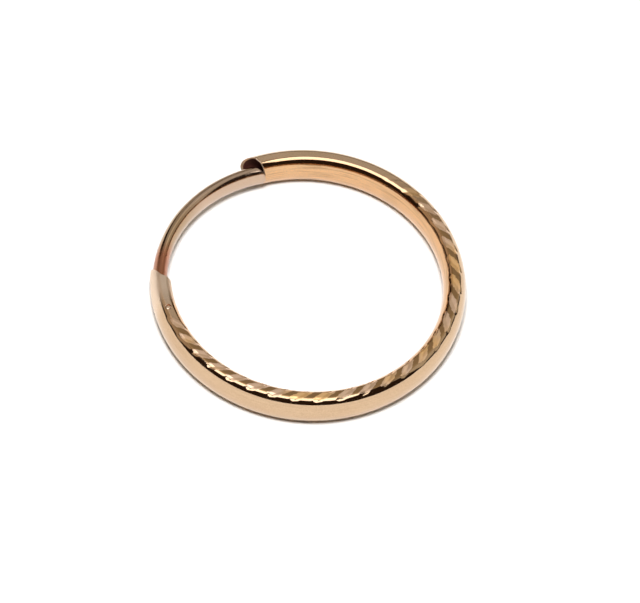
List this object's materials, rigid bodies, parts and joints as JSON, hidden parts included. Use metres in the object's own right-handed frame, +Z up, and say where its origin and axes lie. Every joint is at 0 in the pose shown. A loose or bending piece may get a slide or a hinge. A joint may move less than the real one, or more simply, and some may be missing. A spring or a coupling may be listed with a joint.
{
  "type": "hinged hoop earring",
  "caption": "Round hoop earring of hollow oval gold tube with diagonal diamond cuts, closed by a thinner curved wire hinged in one end of the tube.",
  "frame": {"origin": "on the surface the hoop lies on, under the middle of the ring", "axes": "+Z up along the ring's own axis, +Y away from the viewer of the picture, +X to the right; the gap that the ear wire closes is towards -X and +Y"},
  "size_m": [0.018, 0.018, 0.0022],
  "materials": {
    "tube_gold": "polished rose-toned gold, with bright diagonal cuts on its side faces",
    "wire_gold": "satin gold wire, darker and redder next to the hinge",
    "pin_gold": "burnished gold rivet"
  },
  "bodies": {
    "hoop": {"hoop_tube": "tube_gold", "hinge_pin": "pin_gold"},
    "wire": {"ear_wire": "wire_gold"}
  },
  "joints": [
    {"name": "wire_hinge", "type": "hinge", "parent": "hoop", "child": "wire", "pos_m": [-0.00773, -0.00328, 0.00112], "axis": [0, 0, -1], "range_deg": [0, 70]}
  ]
}
